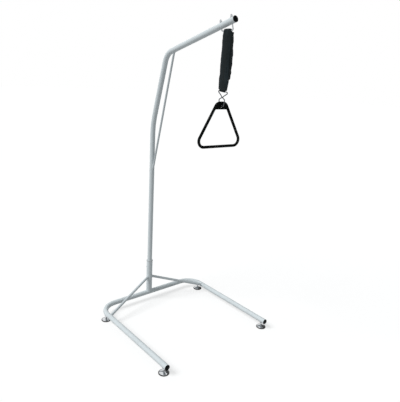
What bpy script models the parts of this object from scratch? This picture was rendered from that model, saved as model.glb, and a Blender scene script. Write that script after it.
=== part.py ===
"""Free-standing patient lifting pole, in metres, +Z up, with its front towards -Y.

Every point below is measured from the mast's axis where it meets the floor. The base
empty stands at that point, set back so that the origin is the middle of the footprint.
"""
import math

import bmesh
import bpy
from mathutils import Quaternion, Vector

MM = 0.001
GAP = 0.3 * MM
X_AXIS = Vector((1, 0, 0))
Y_AXIS = Vector((0, 1, 0))
Z_AXIS = Vector((0, 0, 1))

# Main tube, bent for the floor frame and again for the mast
TUBE_R = 15 * MM
TUBE_BORE_R = 13 * MM
TUBE_SIDES = 24
BEND_STEP = math.radians(9)

# Floor frame: legs, rear corners and cross tube
FRAME_Z = 47.5 * MM
HALF_WIDTH = 365 * MM
CORNER_R = 105 * MM
LEG_END_Y = -711 * MM
CAP_REACH = 4.4 * MM

# Feet under the legs and under the rear corners. Each pressed cup sits on its pad's lip.
FRONT_FOOT_Y = -685 * MM
REAR_FOOT_Y = -80 * MM
PAD_R = 28.5 * MM
STEM_R = 5 * MM
THREAD_R = STEM_R + GAP
INSERT_R = 6.5 * MM
NUT_FLATS = 16 * MM

# Socket on the cross tube, its bush and its braces
SOCKET_R = 19 * MM
SOCKET_BORE_R = 16.5 * MM
SOCKET_FOOT_Z = 50 * MM
SOCKET_TOP_Z = 272 * MM
BUSH_FLANGE_R = 20.5 * MM
BUSH_FLANGE = 6 * MM
BUSH_DEPTH = 34 * MM
BRACE_R = 8 * MM
BRACE_BORE_R = 6.5 * MM
BRACE_TOP_Z = 166 * MM
BRACE_FOOT_Y = -130 * MM

# Clamp screw at the rear of the socket
CLAMP_Z = 222 * MM
CLAMP_R = 4 * MM
BOSS_R = 8 * MM
BOSS_END_Y = 23.5 * MM
CLAMP_HEAD_Y = 25.3 * MM
CLAMP_END_Y = 29.7 * MM

# Mast and boom
MAST_FOOT_Z = 66 * MM
MAST_BEND_Z = 1162 * MM
MAST_BEND_R = 350 * MM
LEAN = math.radians(16.56)
LEAN_LENGTH = 423 * MM
KNEE_R = 85 * MM
BOOM_RISE = math.radians(16)
BOOM_LENGTH = 544 * MM
PLUG_SPIGOT_R = 12.6 * MM

# Strut rod, welded along its lower end and under the boom
STRUT_R = 6 * MM
STRUT_FOOT = Vector((0, -11.3, 889)) * MM
STRUT_HEAD = Vector((0, -188.7, 1586)) * MM

# Hanger rod through the boom
ROD_R = 3 * MM
ROD_BEND_R = 7 * MM
BAR_Z = 1667.5 * MM
OUTER_LEG = 22 * MM
INNER_LEG = 96 * MM
LEG_TOP = 26 * MM

# Strap and sleeve
STRAP_TOP_Y = -600 * MM
STRAP_DRIFT = 11 * MM
STRAP_WIDTH = 38 * MM
WEBBING = 1.6 * MM
PINCH = 1.15 * MM
LAP_FOOT_Z = 1480 * MM
LAP_TOP_Z = 1560 * MM
SLEEVE_TOP_Z = 1677 * MM

# The sleeve from its hem to its shoulder, in millimetres: height, the padding's reach to the
# rear and to the front, the closing strip's reach to the front and the padding's half
# thickness. The strip ends a fifth of the way up.
SLEEVE_SHAPE = (
    (1397.5, 27.6, 31.0, 31.0, 5.6), (1404, 28.0, 31.6, 31.6, 6.8),
    (1416, 28.0, 32.6, 32.6, 7.5), (1430, 28.2, 33.8, 33.8, 8.1),
    (1442, 27.8, 34.6, 34.6, 8.5), (1448.5, 27.6, 34.8, 36.6, 8.7),
    (1452, 27.4, 34.4, 44.9, 8.8), (1457, 27.0, 33.6, 46.9, 9.0),
    (1470, 27.0, 32.2, 46.4, 9.4), (1484, 26.8, 31.6, 48.6, 9.6),
    (1498, 26.6, 31.4, 47.8, 9.7), (1512, 27.0, 31.3, 50.6, 9.8),
    (1526, 26.8, 31.2, 49.4, 9.8), (1540, 27.2, 31.2, 49.3, 9.9),
    (1554, 27.0, 31.2, 50.4, 9.9), (1568, 27.6, 31.2, 49.2, 9.8),
    (1582, 27.5, 31.2, 46.9, 9.8), (1596, 27.8, 31.0, 45.3, 9.8),
    (1610, 27.2, 30.9, 44.3, 9.7), (1624, 27.4, 30.7, 44.6, 9.6),
    (1637, 27.8, 30.4, 43.5, 9.4), (1646, 27.8, 30.0, 41.0, 9.2),
    (1652, 28.0, 29.4, 40.8, 9.0), (1658.5, 28.4, 28.4, 41.4, 8.8),
    (1662, 28.7, 27.6, 37.0, 8.6), (1665, 28.9, 26.6, 26.8, 8.4),
    (1667, 28.9, 26.0, 26.0, 8.2),
)
STRIP_HALF = 1.7 * MM

# Wire link
WIRE_R = 2.5 * MM
LINK_Z = 1392.5 * MM
LINK_SLOPE = 0.1
LINK_REAR = 37.5 * MM
LINK_FRONT = 48.5 * MM
LINK_CORNER_R = 5 * MM
CROSSING = -3 * MM
CROSSING_Z = 1364.5 * MM
LOOP_CORNER = 20.5 * MM
LOOP_FOOT = 14 * MM
WIRE_OFFSET = 2.8 * MM

# Handle, in its own plane about the wire that it hangs on
HANDLE_TURN = math.radians(-3.9)
PIVOT_Z = 1319 * MM
GRIP_R = 7.3 * MM
GRIP_Z = 1121.5 * MM
GRIP_HALF = 149 * MM
APEX_Z = 1382 * MM
GRIP_CORNER_R = 31 * MM
TOP_Z = 1335.9 * MM
SHOULDER_R = 27 * MM
WEB_EDGE_Z = 1305 * MM
WEB_HALF = 5 * MM
EYE_DROP = 1.2 * MM
EYE_R = 4.2 * MM
EYE_FLARE = 0.6

# Worked out from the sizes above
LINK_Y = STRAP_TOP_Y + STRAP_DRIFT
FRONT_REACH = CAP_REACH - LEG_END_Y
BASE_POINT = Vector((0, (FRONT_REACH - CLAMP_END_Y) / 2, 0))
BOOM_WAY = Vector((0, -math.cos(BOOM_RISE), math.sin(BOOM_RISE)))
BOOM_UP = Vector((0, math.sin(BOOM_RISE), math.cos(BOOM_RISE)))
MAST_BEND = Vector((0, 0, MAST_BEND_Z))
KNEE = MAST_BEND + LEAN_LENGTH * Vector((0, -math.sin(LEAN), math.cos(LEAN)))
BOOM_TIP = KNEE + BOOM_LENGTH * BOOM_WAY

# Finishes as colour, roughness and metallic value
POWDER_COAT = ((0.62, 0.65, 0.68), 0.42, 0.0)
BRACE_COAT = ((0.52, 0.55, 0.57), 0.45, 0.0)
CHROME = ((0.80, 0.80, 0.82), 0.12, 1.0)
ZINC = ((0.55, 0.56, 0.58), 0.35, 1.0)
BLACK_PLASTIC = ((0.015, 0.015, 0.016), 0.40, 0.0)
GREY_PLASTIC = ((0.48, 0.50, 0.52), 0.50, 0.0)
BLACK_RUBBER = ((0.02, 0.02, 0.02), 0.80, 0.0)
BLACK_CLOTH = ((0.018, 0.019, 0.021), 0.90, 0.0)

ORIGINS = {}


def start_empty():
    for obj in list(bpy.data.objects):
        bpy.data.objects.remove(obj, do_unlink=True)


def place(obj, parent, point, turn=0.0):
    """Stand an object at a point, under a parent that may stand at another."""
    bpy.context.scene.collection.objects.link(obj)
    obj.parent = parent
    obj.location = point - ORIGINS[parent.name] if parent else BASE_POINT
    obj.rotation_euler.z = turn
    ORIGINS[obj.name] = point
    return obj


def joint(name, parent, point):
    """An empty on a joint's axis, which carries the pieces that move about it."""
    empty = bpy.data.objects.new(name, None)
    empty.empty_display_size = 0.03
    return place(empty, parent, point)


def give_material(obj, finish):
    colour, roughness, metallic = finish
    material = bpy.data.materials.new(obj.name)
    material.use_nodes = True
    shader = material.node_tree.nodes["Principled BSDF"]
    shader.inputs["Base Color"].default_value = (*colour, 1)
    shader.inputs["Roughness"].default_value = roughness
    shader.inputs["Metallic"].default_value = metallic
    obj.data.materials.append(material)


def skin(bm, first, second):
    """Join two rings of vertices with faces. A ring of one vertex is a point on the axis."""
    count = max(len(first), len(second))
    for i in range(count):
        j = (i + 1) % count
        corners = [first[i % len(first)], first[j % len(first)]]
        corners += [second[j % len(second)], second[i % len(second)]]
        bm.faces.new(dict.fromkeys(corners))


def mesh_of_rings(name, rings, origin, loop):
    """Skin a stack of rings. A loop joins the last ring to the first; others are capped."""
    bm = bmesh.new()
    stack = [[bm.verts.new(point - origin) for point in ring] for ring in rings]
    for first, second in zip(stack, stack[1:]):
        skin(bm, first, second)
    if loop:
        skin(bm, stack[-1], stack[0])
    else:
        for end in (stack[0], stack[-1]):
            if len(end) > 2:
                bm.faces.new(end)
    bmesh.ops.recalc_face_normals(bm, faces=bm.faces[:])
    mesh = bpy.data.meshes.new(name)
    bm.to_mesh(mesh)
    bm.free()
    mesh.shade_smooth()
    mesh.set_sharp_from_angle(angle=math.radians(32))
    return mesh


def piece(name, rings, finish, parent, origin=Vector(), loop=False, turn=0.0):
    """A named sub-part whose origin stands at a point of its own."""
    obj = bpy.data.objects.new(name, mesh_of_rings(name, rings, origin, loop))
    give_material(obj, finish)
    return place(obj, parent, origin, turn)


def guide(name, rings, parent, origin=Vector(), loop=False, turn=0.0):
    """A shape that only cuts or joins another piece."""
    obj = bpy.data.objects.new(name, mesh_of_rings(name, rings, origin, loop))
    obj.hide_render = True
    obj.display_type = "WIRE"
    return place(obj, parent, origin, turn)


def copy_of(obj, name, parent, point):
    """A repeated piece, which shares the first one's mesh."""
    return place(bpy.data.objects.new(name, obj.data), parent, point)


def combine(obj, other, operation="DIFFERENCE"):
    boolean = obj.modifiers.new(other.name, "BOOLEAN")
    boolean.operation = operation
    boolean.solver = "EXACT"
    boolean.object = other


def rounded_path(corners, radii, step, closed=False):
    """Straight runs joined by arcs. A corner with no radius stays a plain point."""
    points = []
    for i, (corner, radius) in enumerate(zip(corners, radii)):
        at_end = not closed and i in (0, len(corners) - 1)
        if at_end or radius == 0:
            points.append(corner)
            continue
        back = (corners[i - 1] - corner).normalized()
        ahead = (corners[(i + 1) % len(corners)] - corner).normalized()
        half = back.angle(ahead) / 2
        turn = math.pi - 2 * half
        centre = corner + (back + ahead).normalized() * radius / math.sin(half)
        start = corner + back * radius / math.tan(half) - centre
        axis = ahead.cross(back)
        steps = max(1, math.ceil(turn / step))
        for k in range(steps + 1):
            points.append(centre + Quaternion(axis, turn * k / steps) @ start)
    return points


def directions(path, closed):
    """The way that a path heads at each of its points."""
    last = len(path) - 1
    ways = []
    for i, point in enumerate(path):
        before = path[i - 1] if closed or i > 0 else point
        after = path[(i + 1) % len(path)] if closed or i < last else point
        ways.append(((point - before).normalized() + (after - point).normalized()).normalized())
    return ways


def round_rings(path, side, radius, sides, closed=False):
    """Round sections along a path that lies near a plane; side stands square to the plane."""
    rings = []
    for point, way in zip(path, directions(path, closed)):
        across = (side - way * side.dot(way)).normalized()
        over = way.cross(across)
        angles = [2 * math.pi * (k + 0.5) / sides for k in range(sides)]
        rings.append([point + radius * (math.cos(a) * across + math.sin(a) * over) for a in angles])
    return rings


def hollow_rings(path, side, outer, inner, sides):
    """A tube's outside one way and its bore back again, to be closed as a loop."""
    outside = round_rings(path, side, outer, sides)
    bore = round_rings(path, side, inner, sides)
    return outside + bore[::-1]


def turned_rings(profile, sides, centre=Vector(), axis=Z_AXIS):
    """Turn a profile of radius and height about an axis; either may be a function of the angle."""
    stand = Z_AXIS.rotation_difference(axis)
    rings = []
    for radius, height in profile:
        count = sides if radius else 1
        ring = []
        for k in range(count):
            angle = 2 * math.pi * k / count
            r = radius(angle) if callable(radius) else radius
            z = height(angle) if callable(height) else height
            ring.append(centre + stand @ Vector((r * math.cos(angle), r * math.sin(angle), z)))
        rings.append(ring)
    return rings


def scaled(profile):
    """A profile written in millimetres, in metres."""
    return [(radius * MM, height * MM) for radius, height in profile]


def hexagon(flats):
    """The distance from a hexagon's axis to its side at an angle."""
    return lambda angle: flats / 2 / math.cos((angle + math.pi / 6) % (math.pi / 3) - math.pi / 6)


def chamfer(flats, height, way):
    """The height of a hexagon's edge where a 30 degree cone cuts its corners."""
    side = hexagon(flats)
    return lambda angle: height + way * (side(angle) - flats / 2 + 0.1 * MM) * math.tan(math.pi / 6)


def base_frame(base):
    """The bent floor tube with a hole under each foot, and the space that it takes up."""
    corners = [
        Vector((-HALF_WIDTH, LEG_END_Y, FRAME_Z)),
        Vector((-HALF_WIDTH, 0, FRAME_Z)),
        Vector((HALF_WIDTH, 0, FRAME_Z)),
        Vector((HALF_WIDTH, LEG_END_Y, FRAME_Z)),
    ]
    path = rounded_path(corners, [0, CORNER_R, CORNER_R, 0], BEND_STEP)
    rings = hollow_rings(path, Z_AXIS, TUBE_R, TUBE_BORE_R, TUBE_SIDES)
    frame = piece("base_frame", rings, POWDER_COAT, base, loop=True)
    space = guide("frame_space", round_rings(path, Z_AXIS, TUBE_R + GAP, TUBE_SIDES), base)
    hole = [(0, -TUBE_R - 4 * MM), (INSERT_R + GAP, -TUBE_R - 4 * MM)]
    hole += [(INSERT_R + GAP, -5 * MM), (0, -5 * MM)]
    for name, foot in foot_places().items():
        drill = guide("drill_" + name, turned_rings(hole, 16, foot + FRAME_Z * Z_AXIS), base)
        combine(frame, drill)
    return space


def foot_places():
    """Where each foot stands: the front pair under the legs, the rear pair on the corners."""
    into_corner = CORNER_R + REAR_FOOT_Y
    rear_x = HALF_WIDTH - CORNER_R + math.sqrt(CORNER_R ** 2 - into_corner ** 2)
    return {
        "front_left": Vector((-HALF_WIDTH, FRONT_FOOT_Y, 0)),
        "front_right": Vector((HALF_WIDTH, FRONT_FOOT_Y, 0)),
        "rear_left": Vector((-rear_x, REAR_FOOT_Y, 0)),
        "rear_right": Vector((rear_x, REAR_FOOT_Y, 0)),
    }


def leg_end_caps(base):
    """Plugs in the legs' front ends, with a thin cup inside the tube."""
    profile = scaled([
        (0, -1.5), (10.4, -1.5), (10.4, -11.7), (12.6, -11.7), (12.6, 0.3),
        (15, 0.3), (15, 2.2), (13.8, 3.5), (9, 4.2), (0, CAP_REACH / MM),
    ])
    for name, side in (("left", -1), ("right", 1)):
        end = Vector((side * HALF_WIDTH, LEG_END_Y, FRAME_Z))
        rings = turned_rings(profile, TUBE_SIDES, end, -Y_AXIS)
        piece("leg_end_cap_" + name, rings, BLACK_PLASTIC, base, end)


def mast_socket(base, frame_space):
    """The socket tube, notched over the cross tube and drilled for the clamp screw."""
    path = [Vector((0, 0, SOCKET_FOOT_Z)), Vector((0, 0, SOCKET_TOP_Z))]
    rings = hollow_rings(path, X_AXIS, SOCKET_R, SOCKET_BORE_R, TUBE_SIDES)
    socket = piece("mast_socket", rings, POWDER_COAT, base, loop=True)
    combine(socket, frame_space)
    ends = [Vector((0, 12 * MM, CLAMP_Z)), Vector((0, 24 * MM, CLAMP_Z))]
    combine(socket, guide("clamp_drill", round_rings(ends, X_AXIS, CLAMP_R + GAP, 16), base))
    path = [Vector((0, 0, 40 * MM)), Vector((0, 0, SOCKET_TOP_Z))]
    return guide("socket_space", round_rings(path, X_AXIS, SOCKET_R + GAP, TUBE_SIDES), base)


def socket_bush(base):
    """The liner that centres the mast, with a flange on the socket's mouth."""
    bore = TUBE_R + GAP
    wall = SOCKET_BORE_R - GAP
    seat = SOCKET_TOP_Z + GAP
    top = seat + BUSH_FLANGE
    profile = [
        (bore, SOCKET_TOP_Z - BUSH_DEPTH), (wall, SOCKET_TOP_Z - BUSH_DEPTH), (wall, seat),
        (BUSH_FLANGE_R, seat), (BUSH_FLANGE_R, top - 1.6 * MM), (BUSH_FLANGE_R - 1.6 * MM, top),
        (bore + 0.7 * MM, top), (bore, top - 0.7 * MM),
    ]
    piece("socket_bush", turned_rings(profile, TUBE_SIDES), GREY_PLASTIC, base, loop=True)


def braces(base, frame_space, socket_space):
    """Thin tubes from the socket's sides down to the legs, coped at both ends."""
    for name, side in (("left", -1), ("right", 1)):
        path = [Vector((0, 0, BRACE_TOP_Z)), Vector((side * HALF_WIDTH, BRACE_FOOT_Y, FRAME_Z))]
        rings = hollow_rings(path, Z_AXIS, BRACE_R, BRACE_BORE_R, 16)
        brace = piece("brace_" + name, rings, BRACE_COAT, base, loop=True)
        combine(brace, socket_space)
        combine(brace, frame_space)


def clamp(base, socket_space):
    """A boss welded on the socket, and the screw in it that holds the mast."""
    centre = Vector((0, 0, CLAMP_Z))
    bore = CLAMP_R + GAP
    profile = [
        (bore, 15 * MM), (BOSS_R, 15 * MM), (BOSS_R, BOSS_END_Y - MM),
        (BOSS_R - MM, BOSS_END_Y), (bore, BOSS_END_Y),
    ]
    rings = turned_rings(profile, 16, centre, Y_AXIS)
    boss = piece("clamp_boss", rings, POWDER_COAT, base, centre, loop=True)
    combine(boss, socket_space)
    carrier = joint("clamp_screw_joint", base, centre + CLAMP_HEAD_Y * Y_AXIS)
    profile = [
        (0, TUBE_R + GAP), (CLAMP_R - MM, TUBE_R + GAP), (CLAMP_R, TUBE_R + GAP + MM),
        (CLAMP_R, CLAMP_HEAD_Y), (7 * MM, CLAMP_HEAD_Y), (7 * MM, CLAMP_HEAD_Y + 1.4 * MM),
        (5.2 * MM, CLAMP_END_Y - 0.6 * MM), (3.2 * MM, CLAMP_END_Y), (2.6 * MM, CLAMP_END_Y),
        (2.6 * MM, CLAMP_END_Y - 2.6 * MM), (0, CLAMP_END_Y - 2.6 * MM),
    ]
    rings = turned_rings(profile, 16, centre, Y_AXIS)
    piece("clamp_screw", rings, ZINC, carrier, centre + CLAMP_HEAD_Y * Y_AXIS)


def mast(base):
    """The mast and boom in one bent tube, drilled for the hanger, with a plug in each end."""
    carrier = joint("mast_joint", base, Vector((0, 0, MAST_FOOT_Z)))
    foot = Vector((0, 0, MAST_FOOT_Z))
    corners = [foot, MAST_BEND, KNEE, BOOM_TIP]
    path = rounded_path(corners, [0, MAST_BEND_R, KNEE_R, 0], BEND_STEP)
    rings = hollow_rings(path, X_AXIS, TUBE_R, TUBE_BORE_R, TUBE_SIDES)
    tube = piece("mast_tube", rings, POWDER_COAT, carrier, foot, loop=True)
    space = guide("mast_space", round_rings(path, X_AXIS, TUBE_R + GAP, TUBE_SIDES), carrier, foot)
    for name, from_tip in (("outer", OUTER_LEG), ("inner", INNER_LEG)):
        middle = BOOM_TIP - from_tip * BOOM_WAY
        ends = [middle - 20 * MM * BOOM_UP, middle + 20 * MM * BOOM_UP]
        drill = guide("leg_drill_" + name, round_rings(ends, X_AXIS, ROD_R + GAP, 12), carrier)
        combine(tube, drill)
    profile = [
        (0, 62.9 * MM), (14 * MM, 62.9 * MM), (14.6 * MM, 63.5 * MM),
        (14.6 * MM, MAST_FOOT_Z - GAP), (PLUG_SPIGOT_R, MAST_FOOT_Z - GAP),
        (PLUG_SPIGOT_R, 80 * MM), (10.4 * MM, 80 * MM), (10.4 * MM, 68 * MM), (0, 68 * MM),
    ]
    piece("mast_foot_plug", turned_rings(profile, 16), BLACK_PLASTIC, carrier, foot)
    profile = scaled([
        (0, -1.5), (10.4, -1.5), (10.4, -14), (12.6, -14), (12.6, 0.3), (15.5, 0.3),
        (15.5, 2.8), (14.3, 4.2), (5.2, 4.2), (4.2, 3.2), (0, 3.2),
    ])
    rings = turned_rings(profile, TUBE_SIDES, BOOM_TIP, BOOM_WAY)
    piece("boom_end_plug", rings, BLACK_PLASTIC, carrier, BOOM_TIP)
    strut = piece("strut_rod", round_rings([STRUT_FOOT, STRUT_HEAD], X_AXIS, STRUT_R, 16),
                  BRACE_COAT, carrier, STRUT_FOOT)
    combine(strut, space)
    return carrier


def hanger(carrier):
    """The bent rod that carries the strap, held on top of the boom by washers and dome nuts."""
    drops = {}
    for name, from_tip in (("inner", INNER_LEG), ("outer", OUTER_LEG)):
        middle = BOOM_TIP - from_tip * BOOM_WAY
        corner = middle - (middle.z - BAR_Z) / math.cos(BOOM_RISE) * BOOM_UP
        drops[name] = (middle + LEG_TOP * BOOM_UP, corner)
        washer = scaled([(3.3, 15.3), (6, 15.3), (6, 16.9), (3.3, 16.9)])
        rings = turned_rings(washer, 16, middle, BOOM_UP)
        piece("hanger_washer_" + name, rings, ZINC, carrier, middle, loop=True)
        piece("hanger_dome_nut_" + name, dome_nut_rings(middle), ZINC, carrier, middle)
    corners = [drops["inner"][0], drops["inner"][1], drops["outer"][1], drops["outer"][0]]
    path = rounded_path(corners, [0, ROD_BEND_R, ROD_BEND_R, 0], math.radians(18))
    piece("strap_hanger", round_rings(path, X_AXIS, ROD_R, 12), ZINC, carrier, corners[1])


def dome_nut_rings(middle):
    """A cap nut: blind bore, chamfered hexagon and dome."""
    flats = 10 * MM
    low = 17.2 * MM
    high = low + 5.4 * MM
    profile = [
        (0, LEG_TOP + GAP), (ROD_R + GAP, LEG_TOP + GAP), (ROD_R + GAP, low),
        (flats / 2 - 0.3 * MM, low), (hexagon(flats), chamfer(flats, low, 1)),
        (hexagon(flats), chamfer(flats, high, -1)), (4.6 * MM, high), (4.6 * MM, high + 3 * MM),
        (3.6 * MM, high + 6 * MM), (2 * MM, high + 7.4 * MM), (0, high + 7.8 * MM),
    ]
    return turned_rings(profile, 12, middle, BOOM_UP)


def strap_point(x, across, z):
    """A point of the hanging strap: it drifts towards the mast, and its lower loop slopes."""
    fall = (BAR_Z - z) / (BAR_Z - LINK_Z)
    slope = LINK_SLOPE * min(1.0, max(0.0, 1.4 * fall - 0.4))
    return Vector((x, STRAP_TOP_Y + STRAP_DRIFT * fall + across, z + slope * across))


def strap_loop(centre_z, radius, up):
    """Webbing round a bar, from the pinched run on one side to the other, as x and z."""
    reach = 17 * MM
    distance = math.hypot(PINCH, reach)
    touch = math.atan2(-reach, PINCH) + math.acos(radius / distance)
    sweep = math.pi - 2 * touch
    points = [(PINCH, centre_z - up * reach)]
    for k in range(9):
        angle = touch + sweep * k / 8
        points.append((radius * math.cos(angle), centre_z + up * radius * math.sin(angle)))
    points.append((-PINCH, centre_z - up * reach))
    return points


def lifting_strap(carrier, origin):
    """One length of webbing, looped round the hanger's bar and the link's bar and lapped."""
    lap_x = PINCH + WEBBING + GAP
    bend = WEBBING / 2 + GAP
    path = [(PINCH, LAP_FOOT_Z)] + strap_loop(BAR_Z, ROD_R + bend, 1)
    path += strap_loop(LINK_Z, WIRE_R + bend, -1)[::-1]
    path += [(PINCH, LAP_FOOT_Z - 14 * MM), (lap_x, LAP_FOOT_Z - 4 * MM), (lap_x, LAP_TOP_Z)]
    flat = [Vector((x, 0, z)) for x, z in path]
    rings = []
    for point, way in zip(flat, directions(flat, False)):
        out = way.cross(Y_AXIS) * WEBBING / 2
        half = STRAP_WIDTH / 2
        corners = [(out, half), (out, -half), (-out, -half), (-out, half)]
        rings.append([strap_point(point.x + o.x, a, point.z + o.z) for o, a in corners])
    piece("lifting_strap", rings, BLACK_CLOTH, carrier, origin)


def sleeve_section(z, rear, body, front, half):
    """A section of the sleeve: soft padding, with a flat closing strip beyond its front edge."""
    strip = front - body
    side = []
    for mark in (0.93, 0.8, 0.6, 0.4, 0.2, 0, -0.2, -0.4, -0.6, -0.8, -0.93, -0.985):
        swell = (1 - abs(mark) ** 3.2) ** (1 / 3.2)
        fold = 0.9 * MM * math.sin(2 * math.pi * (1.3 * mark + 4 * z)) * (1 - mark ** 2)
        reach = rear if mark > 0 else body
        side.append((half * swell, fold if half > 5 * MM else 0, reach * mark))
    side.append((STRIP_HALF, 0, -0.996 * body - 0.05 * strip))
    side.append((0.85 * STRIP_HALF, 0, -0.998 * body - 0.9 * strip))
    right = [strap_point(x + fold, across, z) for x, fold, across in side]
    left = [strap_point(fold - x, across, z) for x, fold, across in side]
    return [strap_point(0, rear, z), *right, strap_point(0, -front, z), *left[::-1]]


def pocket_section(z, half):
    """A section of the space inside the sleeve, a flat box as wide as the strap needs."""
    reach = STRAP_WIDTH / 2 + 0.7 * MM
    side = [(half, reach * (1 - k / 5.5)) for k in range(12)]
    side += [(half * 0.66, -reach), (half * 0.33, -reach)]
    right = [strap_point(x, across, z) for x, across in side]
    left = [strap_point(-x, across, z) for x, across in side]
    return [strap_point(0, reach, z), *right, strap_point(0, -reach, z), *left[::-1]]


def strap_sleeve(carrier, origin):
    """The padded sleeve: closed over the hanger's bar, open at its hem, with the strap inside."""
    outside = [[size * MM for size in row] for row in SLEEVE_SHAPE]
    hem_z = outside[0][0]
    room = PINCH + 1.5 * WEBBING + 2 * GAP
    top = BAR_Z + ROD_R + WEBBING + 2 * GAP
    rings = [[strap_point(0, 0, top + 1.4 * MM)]]
    for z, half in ((top + 0.7 * MM, 3 * MM), (BAR_Z + 3 * MM, 5.2 * MM),
                    (BAR_Z - 6 * MM, 5.2 * MM), (BAR_Z - 18 * MM, room),
                    (LINK_Z + 20 * MM, room), (hem_z, 4.8 * MM)):
        rings.append(pocket_section(z, half))
    for z, rear, body, front, half in outside:
        rings.append(sleeve_section(z, rear, body, front, half))
    for angle in (25, 50, 72):
        turn = math.radians(angle)
        draw_in = 9 * MM * (1 - math.cos(turn))
        rise = (SLEEVE_TOP_Z - z) * math.sin(turn)
        rings.append(sleeve_section(z + rise, rear - draw_in, body - draw_in, front - draw_in,
                                    half * math.cos(turn) ** 0.7))
    rings.append([strap_point(0, 0, SLEEVE_TOP_Z)])
    sleeve = piece("strap_sleeve", rings, BLACK_CLOTH, carrier, origin)
    ends = [origin - 45 * MM * Y_AXIS, origin + 45 * MM * Y_AXIS]
    combine(sleeve, guide("bar_channel", round_rings(ends, X_AXIS, ROD_R + 0.6 * MM, 12), carrier))


def link_strand(start, end, crossing, side):
    """Points where a strand steps aside to pass the other, either side of the crossing."""
    way = (end - start).normalized()
    points = []
    for distance in (-16, -8, 0, 8, 16):
        offset = math.cos(math.pi * distance / 48) ** 2
        points.append(crossing + distance * MM * way + side * WIRE_OFFSET * offset * X_AXIS)
    return points


def handle_link(carrier, origin):
    """The figure-of-eight wire: a wide upper loop in the strap and a lower loop for the handle."""
    def point(across, z):
        return Vector((0, LINK_Y + across, z))

    upper_rear = point(LINK_REAR, LINK_Z + LINK_SLOPE * LINK_REAR)
    upper_front = point(-LINK_FRONT, LINK_Z - LINK_SLOPE * LINK_FRONT)
    crossing = point(CROSSING, CROSSING_Z)
    run = (LOOP_CORNER + LINK_REAR) / (LINK_REAR - CROSSING)
    lower_front = upper_rear + (crossing - upper_rear) * run
    run = (LOOP_CORNER + LINK_FRONT) / (LINK_FRONT + CROSSING)
    lower_rear = upper_front + (crossing - upper_front) * run
    near = link_strand(upper_rear, lower_front, crossing, -1)
    far = link_strand(lower_rear, upper_front, crossing, 1)
    corners = [upper_rear, *near, lower_front, point(-LOOP_FOOT, PIVOT_Z)]
    corners += [point(LOOP_FOOT, PIVOT_Z), lower_rear, *far, upper_front]
    plain = [0] * len(near)
    radii = [LINK_CORNER_R, *plain, 8 * MM, 12 * MM, 12 * MM, 8 * MM, *plain, LINK_CORNER_R]
    path = rounded_path(corners, radii, math.radians(21), closed=True)
    rings = round_rings(path, X_AXIS, WIRE_R, 8, closed=True)
    piece("handle_link", rings, ZINC, carrier, origin, loop=True)


def triangle_handle(carrier, origin):
    """The moulded handle: a round grip bent to a triangle, with a flat web and a flared eye."""
    def point(u, z):
        return origin + Vector((u, 0, z - PIVOT_Z))

    lean = GRIP_HALF / (APEX_Z - GRIP_Z)
    shoulder = lean * (APEX_Z - TOP_Z)
    corners = [point(-GRIP_HALF, GRIP_Z), point(GRIP_HALF, GRIP_Z)]
    corners += [point(shoulder, TOP_Z), point(-shoulder, TOP_Z)]
    radii = [GRIP_CORNER_R, GRIP_CORNER_R, SHOULDER_R, SHOULDER_R]
    path = rounded_path(corners, radii, math.radians(14.5), closed=True)
    rings = round_rings(path, Y_AXIS, GRIP_R, 16, closed=True)
    handle = piece("triangle_handle", rings, BLACK_PLASTIC, carrier, origin, True, HANDLE_TURN)

    inset = GRIP_R * math.hypot(1, lean)
    low_z = WEB_EDGE_Z - 7 * MM
    edge = [point(side * ((APEX_Z - WEB_EDGE_Z) * lean - inset), WEB_EDGE_Z) for side in (-1, 1)]
    inside = [point(side * ((APEX_Z - low_z) * lean - inset), low_z) for side in (-1, 1)]
    middle = [point(side * (APEX_Z - low_z) * lean, low_z) for side in (-1, 1)]
    outline = rounded_path(
        [middle[0], inside[0], edge[0], edge[1], inside[1], middle[1], *corners[2:]],
        [0, 0, 8 * MM, 8 * MM, 0, 0, SHOULDER_R, SHOULDER_R], math.radians(20), closed=True)
    faces = [[spot + way * WEB_HALF * Y_AXIS for spot in outline] for way in (-1, 1)]
    web = guide("web_blank", faces, carrier, origin, turn=HANDLE_TURN)
    combine(handle, web, "UNION")

    reach = 8 * MM
    flare = EYE_R + EYE_FLARE * reach
    profile = [(0, -reach), (flare, -reach), (EYE_R, 0), (flare, reach), (0, reach)]
    rings = turned_rings(profile, 16, origin - EYE_DROP * Z_AXIS, Y_AXIS)
    combine(handle, guide("eye_cutter", rings, carrier, origin, turn=HANDLE_TURN))


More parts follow.
